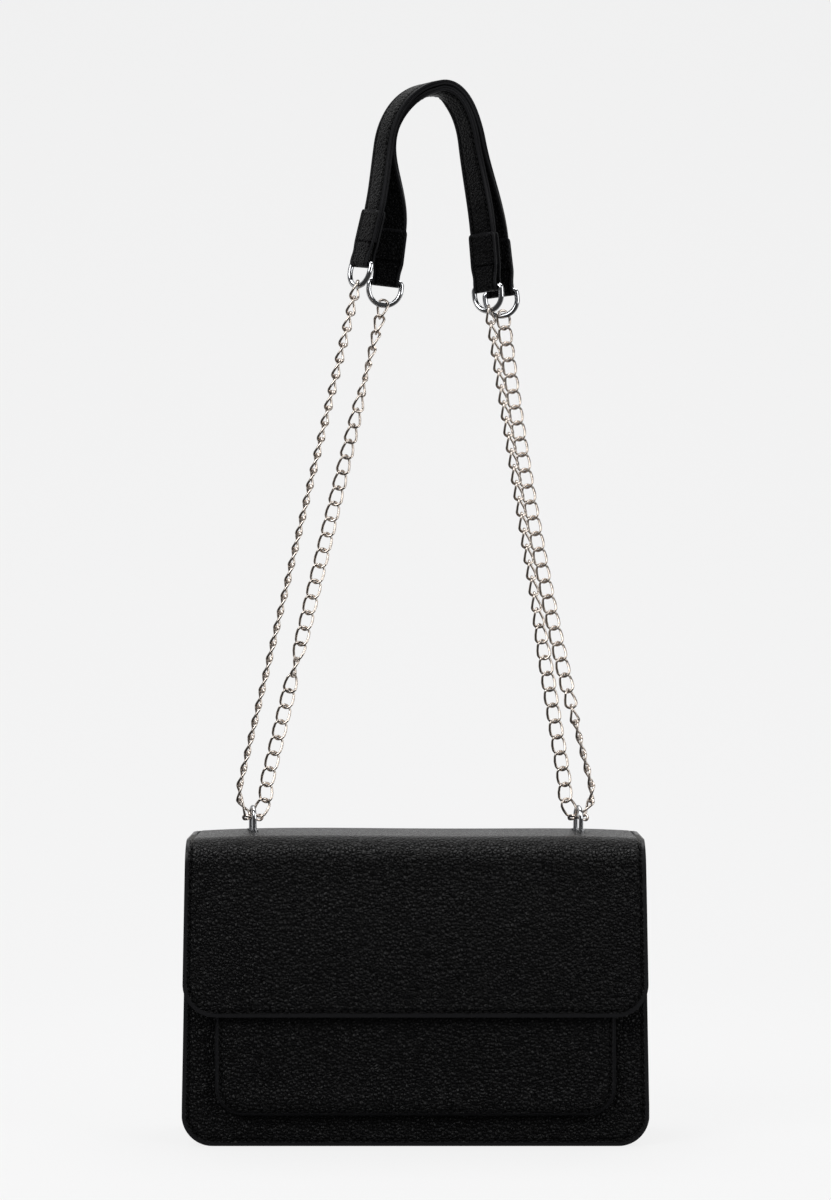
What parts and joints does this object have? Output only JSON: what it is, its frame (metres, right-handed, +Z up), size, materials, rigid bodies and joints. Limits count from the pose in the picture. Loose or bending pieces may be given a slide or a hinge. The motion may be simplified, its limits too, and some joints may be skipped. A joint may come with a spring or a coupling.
{
  "type": "shoulder bag",
  "caption": "Flat rectangular shoulder bag with a long front flap, a front slip pocket and slim padded straps on chains that pass through small metal loops on its top.",
  "frame": {"origin": "the shoulder rest: the lowest point of the inner strap's crown, on its lining", "axes": "+Z up along the straps, the front with the flap faces -Y, +X to the viewer's right"},
  "size_m": [0.242, 0.0708, 0.5566],
  "materials": {
    "leather": "pebbled black faux leather, satin, with smooth painted edges",
    "lining": "black woven lining",
    "board": "stiffening board",
    "steel": "plain steel",
    "chrome": "polished silver tone",
    "chain": "polished pale silver tone with a slight warm tint"
  },
  "bodies": {
    "strap": {"outer_pad": "leather", "outer_pad_lining": "leather", "outer_left_tab": "leather", "outer_right_tab": "leather", "outer_left_ring": "chrome", "outer_right_ring": "chrome", "outer_left_chain": "chain", "outer_right_chain": "chain", "inner_pad": "leather", "inner_pad_lining": "leather", "inner_left_tab": "leather", "inner_right_tab": "leather", "inner_left_ring": "chrome", "inner_right_ring": "chrome", "inner_left_chain": "chain", "inner_right_chain": "chain", "left_turn_link": "chain", "right_turn_link": "chain"},
    "bag": {"back_panel": "leather", "front_panel": "leather", "gusset": "leather", "front_board": "board", "back_board": "board", "gusset_board": "board", "lining": "lining", "inner_pocket": "lining", "pocket_panel": "leather", "pocket_catch_discs": "steel", "top_board": "board", "left_bridge": "chrome", "right_bridge": "chrome", "bridge_nuts": "steel"},
    "flap": {"flap_leather": "leather", "flap_board": "board", "flap_lining": "lining", "flap_magnets": "steel"}
  },
  "joints": [
    {"name": "bag_swing", "type": "hinge", "parent": "strap", "child": "bag", "pos_m": [-0.0114, 0, -0.3806], "axis": [1, 0, 0], "range_deg": [-4, 80]},
    {"name": "flap_hinge", "type": "hinge", "parent": "bag", "child": "flap", "pos_m": [-0.0114, -0.0085, -0.3875], "axis": [-1, 0, 0], "range_deg": [0, 85]}
  ]
}
